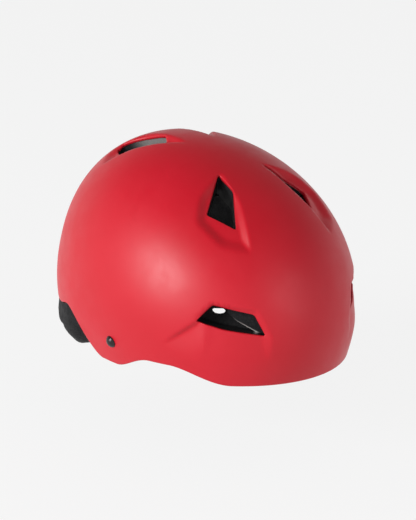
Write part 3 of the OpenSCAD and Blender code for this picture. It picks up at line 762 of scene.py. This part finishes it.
def cloth_material():
    """Pad cloth: knitted loops."""
    mat, nt, bsdf = material("pad_cloth", (0.022, 0.022, 0.025), 0.9, Sheen_Weight=0.35,
                             Sheen_Roughness=0.4, Specular_IOR_Level=0.25)
    at = object_coords(nt)
    knit = node(nt, "ShaderNodeTexVoronoi", Scale=1150.0, Randomness=0.35)
    nt.links.new(at, knit.inputs["Vector"])
    loops = spread(nt, knit.outputs["Distance"], 1, 0, 0.0, 0.6)
    nt.links.new(tint(nt, loops, (0.010, 0.010, 0.012), (0.034, 0.034, 0.038)), bsdf.inputs["Base Color"])
    first = bump(nt, bsdf, loops, 0.00025, 0.7)
    bump(nt, bsdf, noise(nt, at, 70, 3), 0.0006, 0.4, first)
    return mat


def hook_material():
    """Hook tape: a field of tiny hooks."""
    mat, nt, bsdf = material("hook_tape", (0.05, 0.05, 0.055), 0.8)
    hooks = node(nt, "ShaderNodeTexVoronoi", Scale=900.0, Randomness=0.1)
    nt.links.new(object_coords(nt), hooks.inputs["Vector"])
    far = hooks.outputs["Distance"]
    nt.links.new(tint(nt, far, (0.08, 0.08, 0.085), (0.02, 0.02, 0.022), 0.1, 0.5), bsdf.inputs["Base Color"])
    bump(nt, bsdf, spread(nt, far, 1, 0, 0.1, 0.5), 0.0003, 0.8)
    return mat


def webbing_material():
    """Webbing: ribs along the strap and picks across it, from the strap's own map in millimetres."""
    mat, nt, bsdf = material("webbing", (0.018, 0.018, 0.021), 0.75, Sheen_Weight=0.25, Sheen_Roughness=0.4)
    uv = nt.nodes.new("ShaderNodeUVMap")
    uv.uv_map = "UVMap"
    parts = nt.nodes.new("ShaderNodeSeparateXYZ")
    nt.links.new(uv.outputs[0], parts.inputs[0])
    along, over = parts.outputs[0], parts.outputs[1]
    lean = math_node(nt, "PINGPONG", math_node(nt, "MULTIPLY", over, 0.45), 1.0)
    picks = math_node(nt, "SINE", math_node(nt, "MULTIPLY", math_node(nt, "ADD", along, lean), 7.0))
    ribs = math_node(nt, "SINE", math_node(nt, "MULTIPLY", over, 8.4))
    weave = spread(nt, math_node(nt, "ADD", picks, ribs), 0, 1, -2, 2)
    color = tint(nt, weave, (0.008, 0.008, 0.010), (0.032, 0.032, 0.036), 0.25, 0.85)
    nt.links.new(color, bsdf.inputs["Base Color"])
    bump(nt, bsdf, weave, 0.0002, 0.8)
    return mat


def thread_material():
    """Bonded sewing thread: two twisted plies."""
    mat, nt, bsdf = material("thread", (0.03, 0.03, 0.034), 0.5, Sheen_Weight=0.2)
    ply = node(nt, "ShaderNodeTexWave", Scale=900.0, Distortion=1.5)
    nt.links.new(object_coords(nt), ply.inputs["Vector"])
    color = tint(nt, ply.outputs["Fac"], (0.018, 0.018, 0.021), (0.042, 0.042, 0.047))
    nt.links.new(color, bsdf.inputs["Base Color"])
    bump(nt, bsdf, ply.outputs["Fac"], 0.00008, 0.6)
    return mat


def moulded_material(key, color, rough, grain):
    """Moulded plastic with soft edges and a fine grain."""
    mat, nt, bsdf = material("moulded_" + key, color, rough)
    at = object_coords(nt)
    low, high = tuple(0.75 * c for c in color), tuple(1.3 * c for c in color)
    nt.links.new(tint(nt, noise(nt, at, 90, 4), low, high, 0.3, 0.7), bsdf.inputs["Base Color"])
    gloss = spread(nt, noise(nt, at, 260, 4), rough - 0.06, rough + 0.08, 0.3, 0.7)
    nt.links.new(gloss, bsdf.inputs["Roughness"])
    bevel = node(nt, "ShaderNodeBevel", Radius=0.0004)
    bump(nt, bsdf, noise(nt, at, 1800, 3), grain, 0.6, bevel.outputs[0])
    return mat


# Fit pads: azimuth, elevation, width, height, and the sewn channels across and along
PADS = {
    "brow_pad": (0, -9, 116, 22, (-31, 0, 31), ()),
    "crown_pad_front": (0, 84, 64, 44, (), (0,)),
    "crown_pad_rear": (180, 33, 52, 30, (0,), ()),
    "side_pad_right": (86, 13, 66, 28, (-13, 13), ()),
    "side_pad_left": (-86, 13, 66, 28, (-13, 13), ()),
    "rear_pad": (180, 3, 62, 26, (-12, 12), ()),
}
SEAT_R, PAD_SEAT, PAD_THIN, PAD_PUFF, PAD_TAPER = 92.0, 1.55, 2.5, 5.5, 0.12
FLANGE_T, SEAM, LEAST_T = 1.5, 3.4, 0.9
PUFF_RUN, EDGE_BLEND = 7.5, 1.4
CHANNEL_DEEP, CHANNEL_WIDE, CHANNEL_RUN = 3.6, 1.9, 5.0
# The stitched groove lies just outside the seam, and the waving puckers inside it
GROOVE_DEEP, GROOVE_OUT, GROOVE_WIDE = 0.45, 0.3, 0.55
PUCKER_HIGH, PUCKER_IN, PUCKER_WIDE = 0.22, 2.2, 1.7
WAVE_RATE, DRIFT, DRIFT_RATE = 1.45, 0.8, 0.37
# A pad's cells, how much they shorten towards its sides, its welded edge's reach, and its stitches' spacing
CELL_W, CELL_H, BUNCH_W, BUNCH_H = 1.15, 1.05, 0.86, 0.8
WELD_OUT, PAD_STITCH_STEP = 0.9, 2.6


def pad_dir(az, el, x, y):
    """Directions of places on a pad, across and up from its middle."""
    d = SEAT_R * aim(az, el) + x[:, None] * across(az) + y[:, None] * upward(az, el)
    return d / np.linalg.norm(d, axis=1)[:, None]


def tapered(u, v, w, h):
    """Places on a pad whose sides bow in towards its corners."""
    return u * (1 - PAD_TAPER * v * v) * w / 2, v * (1 - PAD_TAPER * u * u) * h / 2


def pad_thickness(x, y, u, v, w, h, across_at, along_at):
    """A sewn cushion: a thin welded flange, a stitched groove, then the padding with its sewn channels."""
    edge_x, edge_y = (1 - np.abs(u)) * w / 2, (1 - np.abs(v)) * h / 2
    edge = -np.logaddexp(-edge_x / EDGE_BLEND, -edge_y / EDGE_BLEND) * EDGE_BLEND
    full = PAD_THIN + PAD_PUFF * np.sqrt(np.maximum((1 - u ** 4) * (1 - v ** 4), 0))
    t = FLANGE_T + (full - FLANGE_T) * np.sqrt(ramp(edge, SEAM, SEAM + PUFF_RUN))
    for place, channels in ((x, across_at), (y, along_at)):
        for at in channels:
            dip = np.minimum(CHANNEL_DEEP, 0.5 * t) * np.exp(-((place - at) / CHANNEL_WIDE) ** 2)
            t = t - dip * ramp(edge, SEAM, SEAM + CHANNEL_RUN)
    run = np.where(edge_x < edge_y, y, x)
    wave = np.sin(run * WAVE_RATE + DRIFT * np.sin(run * DRIFT_RATE))
    pucker = wave * np.exp(-((edge - SEAM - PUCKER_IN) / PUCKER_WIDE) ** 2)
    groove = np.exp(-((edge - SEAM + GROOVE_OUT) / GROOVE_WIDE) ** 2)
    return np.maximum(t - GROOVE_DEEP * groove + PUCKER_HIGH * pucker, LEAST_T)


def bunched(n, share):
    """Places from -1 to 1 in n steps, which shorten towards both ends."""
    return np.sin(np.linspace(-1, 1, n + 1) * math.pi / 2 * share) / math.sin(math.pi / 2 * share)


def make_pad(name):
    az, el, w, h, across_at, along_at = PADS[name]
    nu, nv = int(w / CELL_W), int(h / CELL_H)
    u, v = [g.ravel() for g in np.meshgrid(bunched(nu, BUNCH_W), bunched(nv, BUNCH_H))]
    x, y = tapered(u, v, w, h)
    d = pad_dir(az, el, x, y)
    seat = cavity_r(d) - PAD_SEAT
    t = pad_thickness(x, y, u, v, w, h, across_at, along_at)
    shape = Shape()
    row = nu + 1
    cell = [(j * row + k, j * row + k + 1, (j + 1) * row + k + 1, (j + 1) * row + k)
            for j in range(nv) for k in range(nu)]
    inner = shape.add(MID + d * (seat - t)[:, None], cell)
    outer = shape.add(MID + d * seat[:, None], [c[::-1] for c in cell])
    edge = (list(range(nu)) + [j * row + nu for j in range(nv)]
            + [nv * row + k for k in range(nu, 0, -1)] + [j * row for j in range(nv, 0, -1)])
    mid_w = pad_dir(az, el, x[edge] * (1 + WELD_OUT / w), y[edge] * (1 + WELD_OUT / h))
    waist = shape.add_ring(MID + mid_w * (cavity_r(mid_w) - PAD_SEAT - FLANGE_T / 2)[:, None])
    shape.bridge([k + inner for k in edge], waist)
    shape.bridge(waist, [k + outer for k in edge])
    obj = shape.build("sewn_" + name)
    outward(obj)
    return obj


def pad_stitches(name):
    """Thread along the pad's seam, as points, directions and normals."""
    az, el, w, h, across_at, along_at = PADS[name]
    u_in, v_in = 1 - 2 * (SEAM - GROOVE_OUT) / w, 1 - 2 * (SEAM - GROOVE_OUT) / h
    loop = rounded([[-u_in, -v_in], [u_in, -v_in], [u_in, v_in], [-u_in, v_in]], 0.22)
    q = resampled(loop * [w / 2, h / 2], PAD_STITCH_STEP)
    u, v = q[:, 0] / (w / 2), q[:, 1] / (h / 2)
    x, y = tapered(u, v, w, h)
    d = pad_dir(az, el, x, y)
    t = pad_thickness(x, y, u, v, w, h, (), ())
    at = MID + d * (cavity_r(d) - PAD_SEAT - t - 0.05)[:, None]
    return at, np.roll(at, -1, 0) - np.roll(at, 1, 0), -d


# A stitch's sections: place along its half length, and share of its thickness
STITCH_SECTIONS = [(-1.0, 0.35), (-0.7, 0.9), (0.0, 1.0), (0.7, 0.9), (1.0, 0.35)]
STITCH_SUNK = 0.12


def stitch_mesh(name, at, along, normal, long=1.9, wide=0.28):
    """Short rounded lengths of thread, laid along a seam."""
    along = along / np.linalg.norm(along, axis=1)[:, None]
    side = np.cross(normal, along)
    turn = np.arange(6)[:, None] * math.pi / 3
    shape = Shape()
    for p, a, n, c in zip(at, along, normal, side):
        rings = []
        for place, share in STITCH_SECTIONS:
            ring = (np.cos(turn) * c + np.sin(turn) * n) * wide * share
            lift = wide * 0.9 * (1 - place * place) - STITCH_SUNK
            rings.append(p + a * place * long / 2 + ring + n * lift)
        shape.add_tube(rings)
    obj = shape.build(name)
    outward(obj)
    return obj


# Webbing, in the frame of a drop strap: x along it, y along the anchor bar, z away from its face
JOINTS = {joint["name"]: joint for joint in frame["joints"]}
HINGE = np.array(JOINTS["harness_right_swing"]["pos_m"]) / MM
SLIDE = JOINTS["tongue_slide"]["axis"]
STRAP_X = np.array([SLIDE[0], 0, -SLIDE[2]])
STRAP_Z = np.array([SLIDE[2], 0, SLIDE[0]])
WEB_W, WEB_T, BAR_R, BAR_GAP = 15.0, 1.4, 1.4, 0.2
LOOP_MID = BAR_R + BAR_GAP + WEB_T / 2
# Along the bar: the front strap, the divider's middle, and a drop strap's shift from that middle
PITCH_Y, FORK_Y, FORK_SHIFT = -40.0, -20.0, 7.8
# Along the drop strap: the divider's bar. Away from its face: the chin strap, that bar and the socket's bar
DROP = 66.0
CHIN_Z, CHIN_BAR, SOCKET_BAR = 1.8, 0.2, 4.8
STRIP_MID = -LOOP_MID
# The drop straps slant together between these places, and end in the divider
FORK_START, FORK_RUN, DROP_END = 8.0, 32.5, 50.2
CORNER_RUN, STITCH_STEP = 3.0, 2.2
# Where the sewn boxes start and end along a strap
SEWN_ANCHOR, SEWN_DIVIDER, SEWN_SOCKET = (5.9, 10.4), (57.0, 61.4), (44.5, 53.0)
# The boxes' distance from a strap's edge, and the share and the run of the thinning at a strap's ends
SEWN_INSET, END_THIN, END_RUN = 2.2, 0.35, 0.5


def in_strap(p, left):
    """Places given in the frame of a drop strap, as places in the model."""
    out = HINGE + p[:, :1] * STRAP_X + p[:, 1:2] * [0, 1, 0] + p[:, 2:] * STRAP_Z
    return out * [-1, 1, 1] if left else out


def line_points(a, b, step=1.5):
    n = max(2, int(np.linalg.norm(np.subtract(b, a)) / step))
    return [tuple(np.add(a, np.multiply(np.subtract(b, a), k / n))) for k in range(n)]


def arc_points(x, z, r, start, end, steps=14):
    return [(x + r * math.cos(t), z + r * math.sin(t))
            for t in np.radians(np.linspace(start, end, steps))]


def web_section():
    """Half of the strap's width and share of its thickness, round a section with rounded selvedges."""
    half, bulge = WEB_W / 2, 0.45
    over = [-half + bulge, -half * 0.62, -half * 0.2, half * 0.2, half * 0.62, half - bulge]
    right = [(half - 0.1, 0.3), (half, 0.0), (half - 0.1, -0.3)]
    left = [(-half + 0.1, -0.3), (-half, 0.0), (-half + 0.1, 0.3)]
    return np.array([(o, 0.5) for o in over] + right + [(o, -0.5) for o in over[::-1]] + left)


def ribbon(name, xz, y, left):
    """A strap along a path seen from its edge, its middle line at y, with a scorched thin end."""
    path = np.column_stack([[p[0] for p in xz], y, [p[1] for p in xz]])
    step = np.gradient(path[:, [0, 2]], axis=0)
    step /= np.linalg.norm(step, axis=1)[:, None]
    normal = np.column_stack([-step[:, 1], np.zeros(len(path)), step[:, 0]])
    run = np.concatenate([[0], np.cumsum(np.linalg.norm(np.diff(path, axis=0), axis=1))])
    section = web_section()
    rings, uv = [], []
    for p, n, length in zip(path, normal, run):
        slim = 1 - END_THIN * math.exp(-min(length, run[-1] - length) / END_RUN)
        ring = p + section[:, :1] * [0, 1, 0] + section[:, 1:] * WEB_T * slim * n
        rings.append(in_strap(ring, left))
        uv += [(length, o) for o, t in section]
    shape = Shape()
    shape.add_tube(rings)
    obj = shape.build(name, uv)
    outward(obj)
    obj.data.set_sharp_from_angle(angle=math.radians(60))
    return obj


def drop_strap(name, y0, y1, left):
    """Sewn round the anchor bar, then down into the divider."""
    upper = STRIP_MID + WEB_T
    tail = line_points((11.6, upper), (5.6, upper)) + [(4.2, -0.75), (3.0, -0.1), (2.1, 0.75)]
    loop = arc_points(0, 0, LOOP_MID, 42, 264)
    xz = tail + loop + line_points((0.3, STRIP_MID), (DROP_END, STRIP_MID))
    x = np.array([p[0] for p in xz])
    slant = np.clip((x - FORK_START) / FORK_RUN, 0, 1)
    slant += (smooth_corner(x, FORK_START) - smooth_corner(x, FORK_START + FORK_RUN)) / FORK_RUN
    return ribbon(name, xz, y0 + (y1 - y0) * slant, left)


def smooth_corner(x, at):
    """How far a strap leaves its straight line where it starts or stops slanting."""
    return CORNER_RUN / 4 * np.exp(-((x - at) / CORNER_RUN) ** 2)


def chin_strap(name, left):
    """Sewn round the divider's bar, then folded back over the drop straps to its buckle half."""
    under, top = CHIN_Z - WEB_T / 2, CHIN_Z + WEB_T / 2
    tail = line_points((56.2, under), (61.6, under)) + [(63.0, 0.95), (64.2, 0.2)]
    loop = arc_points(DROP, CHIN_BAR, LOOP_MID, 222, 444, 16)
    if left:
        end = line_points((DROP - 0.2, top), (16.8, top)) + [(16.6, top)]
    else:
        over = top + WEB_T
        end = line_points((DROP - 0.2, top), (38.4, top)) + arc_points(38, SOCKET_BAR, LOOP_MID, 270, 42)
        end += [(40.2, 6.1), (41.4, 5.2), (42.6, 4.55)] + line_points((44, over), (54, over))
    xz = tail + loop[:-1] + end
    return ribbon(name, xz, np.full(len(xz), FORK_Y), left)


def box_stitch(name, x0, x1, y0, z, left, slope=0.0):
    """Thread sewn in a box with a cross, through both layers of a strap."""
    half = WEB_W / 2 - SEWN_INSET
    corners = [(x0, -half), (x1, -half), (x1, half), (x0, half), (x0, -half),
               (x1, half), (x1, -half), (x0, half)]
    at, along = [], []
    for a, b in zip(corners, corners[1:]):
        run = np.subtract(b, a)
        n = int(round(np.linalg.norm(run) / STITCH_STEP))
        for k in range(n):
            q = np.add(a, run * (k + 0.5) / n)
            at.append((q[0], y0 + q[1] + slope * max(q[0] - FORK_START, 0), z))
            along.append((run[0], run[1], 0))
    origin = in_strap(np.zeros((1, 3)), left)
    along = in_strap(np.array(along, float), left) - origin
    face = in_strap(np.array([[0, 0, 1.0]]), left) - origin
    normals = np.repeat(face, len(at), 0)
    return stitch_mesh(name, in_strap(np.array(at), left), along, normals, long=1.7, wide=0.22)


MATS = {"shell": shell_material(), "foam": foam_material(), "cloth": cloth_material(),
        "hooks": hook_material(), "webbing": webbing_material(), "thread": thread_material()}
for key, color, rough, grain in (("anchor", (0.020, 0.020, 0.022), 0.45, 0.00006),
                                 ("buckle", (0.016, 0.016, 0.018), 0.32, 0.00003),
                                 ("rivet", (0.009, 0.003, 0.003), 0.26, 0.00001),
                                 ("rubber", (0.012, 0.012, 0.012), 0.7, 0.00004)):
    MATS[key] = moulded_material(key, color, rough, grain)


def dress(obj, key, body, nodes=()):
    obj.data.materials.clear()
    obj.data.materials.append(MATS[key])
    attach(obj, body)
    if nodes:
        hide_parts(*nodes)


shell = make_shell()
dress(shell, "shell", "helmet", ("outer_shell",))
liner = make_liner()
dress(liner, "foam", "helmet", ("eps_liner",))

for name in PADS:
    pad = make_pad(name)
    dress(pad, "cloth", "helmet", (name,))
    dress(stitch_mesh(name + "_thread", *pad_stitches(name)), "thread", "helmet", ())

for side in ("right", "left"):
    left = side == "left"
    for end, y0, y1 in (("rear", 0.0, FORK_Y + FORK_SHIFT), ("front", PITCH_Y, FORK_Y - FORK_SHIFT)):
        strap = drop_strap("webbing_" + end + "_" + side, y0, y1, left)
        dress(strap, "webbing", "harness_" + side, ("strap_" + end + "_" + side,))
        seam = box_stitch("thread_" + end + "_" + side, *SEWN_ANCHOR, y0, STRIP_MID + 1.5 * WEB_T - 0.2, left,
                          (y1 - y0) / FORK_RUN)
        dress(seam, "thread", "harness_" + side, ())
    strap = chin_strap("webbing_chin_" + side, left)
    dress(strap, "webbing", "chin_" + side, ("chin_strap_" + side,))
    seam = box_stitch("thread_chin_" + side, *SEWN_DIVIDER, FORK_Y, CHIN_Z + WEB_T, left)
    dress(seam, "thread", "chin_" + side, ())
seam = box_stitch("thread_socket", *SEWN_SOCKET, FORK_Y, CHIN_Z + 2 * WEB_T, False)
dress(seam, "thread", "chin_right", ())

# The hard pieces show as their solids
CAD_FINISH = {"pad_hook_discs": "hooks", "rivet_right": "rivet", "rivet_left": "rivet",
              "strap_keeper": "rubber", "anchor_rear_right": "anchor", "anchor_rear_left": "anchor",
              "anchor_front_right": "anchor", "anchor_front_left": "anchor", "divider_right": "anchor",
              "divider_left": "anchor", "buckle_socket": "buckle", "buckle_tongue": "buckle"}
for name, key in CAD_FINISH.items():
    obj = frame["nodes"][name]
    obj.data.materials.clear()
    obj.data.materials.append(MATS[key])

# Camera, floor and lights
cam = bpy.data.cameras.new("camera")
camera = bpy.data.objects.new("camera", cam)
bpy.context.scene.collection.objects.link(camera)
bpy.context.scene.camera = camera
cam.sensor_width = 36
cam.lens = 160.6
cam.clip_end = 20
azimuth_deg, elevation_deg, distance = -40.0, 17.6, 1.896
a, e = math.radians(azimuth_deg), math.radians(elevation_deg)
away = Vector((math.sin(a) * math.cos(e), -math.cos(a) * math.cos(e), math.sin(e)))
target = Vector((0.0028, MID[1] * MM, 0.0644))
camera.location = target + away * distance
camera.rotation_euler = away.to_track_quat("Z", "Y").to_euler()


def seen_rays(nt):
    """1 on camera, transmission and glossy rays, and 0 on the others."""
    path = nt.nodes.new("ShaderNodeLightPath")
    seen = math_node(nt, "MAXIMUM", path.outputs["Is Camera Ray"], path.outputs["Is Transmission Ray"])
    return math_node(nt, "MAXIMUM", seen, path.outputs["Is Glossy Ray"])


def stage_material(name, shade, glow, glow_share):
    """A white floor that glows where it is seen, and takes shadows in the rest of its share."""
    mat = bpy.data.materials.new(name)
    mat.use_nodes = True
    nt = mat.node_tree
    nt.nodes.clear()
    out = nt.nodes.new("ShaderNodeOutputMaterial")
    diffuse = node(nt, "ShaderNodeBsdfDiffuse", Color=(shade, shade, shade, 1))
    emit = node(nt, "ShaderNodeEmission", Color=(1, 1, 1, 1), Strength=glow)
    mix = nt.nodes.new("ShaderNodeMixShader")
    nt.links.new(math_node(nt, "MULTIPLY", seen_rays(nt), glow_share), mix.inputs[0])
    nt.links.new(diffuse.outputs[0], mix.inputs[1])
    nt.links.new(emit.outputs[0], mix.inputs[2])
    nt.links.new(mix.outputs[0], out.inputs["Surface"])
    return mat


FLOOR_Z = -0.075
FLOOR_HALF = 30
floor_corners = [(x * FLOOR_HALF, y * FLOOR_HALF, FLOOR_Z) for x, y in ((-1, -1), (1, -1), (1, 1), (-1, 1))]
floor = add_mesh("floor", floor_corners, [(0, 1, 2, 3)], False, scale=1)
floor.data.materials.append(stage_material("floor_white", 0.8, 0.965, 0.88))


def lamp(name, place, size, watts):
    """A round lamp that faces the helmet's middle."""
    data = bpy.data.lights.new(name, "AREA")
    data.shape = "DISK"
    data.size = size
    data.energy = watts
    obj = bpy.data.objects.new(name, data)
    obj.location = place
    obj.rotation_euler = (Vector(place) - Vector((0, 0, 0.07))).to_track_quat("Z", "Y").to_euler()
    bpy.context.scene.collection.objects.link(obj)


lamp("key", (-2.35, 0.12, 0.85), 1.1, 47)
lamp("fill", (0.25, -2.4, 0.8), 1.6, 9)


def make_world():
    """White all round, fading upward: one fade lights the helmet, and the other is seen and mirrored."""
    world = bpy.data.worlds.new("world")
    bpy.context.scene.world = world
    world.use_nodes = True
    nt = world.node_tree
    nt.nodes.clear()
    out = nt.nodes.new("ShaderNodeOutputWorld")
    sky = nt.nodes.new("ShaderNodeSeparateXYZ")
    nt.links.new(nt.nodes.new("ShaderNodeTexCoord").outputs["Generated"], sky.inputs[0])
    blend = nt.nodes.new("ShaderNodeMixShader")
    nt.links.new(seen_rays(nt), blend.inputs[0])
    for k, fade in ((1, (0.49, 0.25, 0.2, 0.95)), (2, (0.92, 0.12, 0.12, 0.6))):
        light = node(nt, "ShaderNodeBackground", Color=(1, 1, 1, 1))
        nt.links.new(spread(nt, sky.outputs["Z"], *fade), light.inputs["Strength"])
        nt.links.new(light.outputs[0], blend.inputs[k])
    nt.links.new(blend.outputs[0], out.inputs["Surface"])


make_world()
scene = bpy.context.scene
scene.view_settings.view_transform = "Standard"
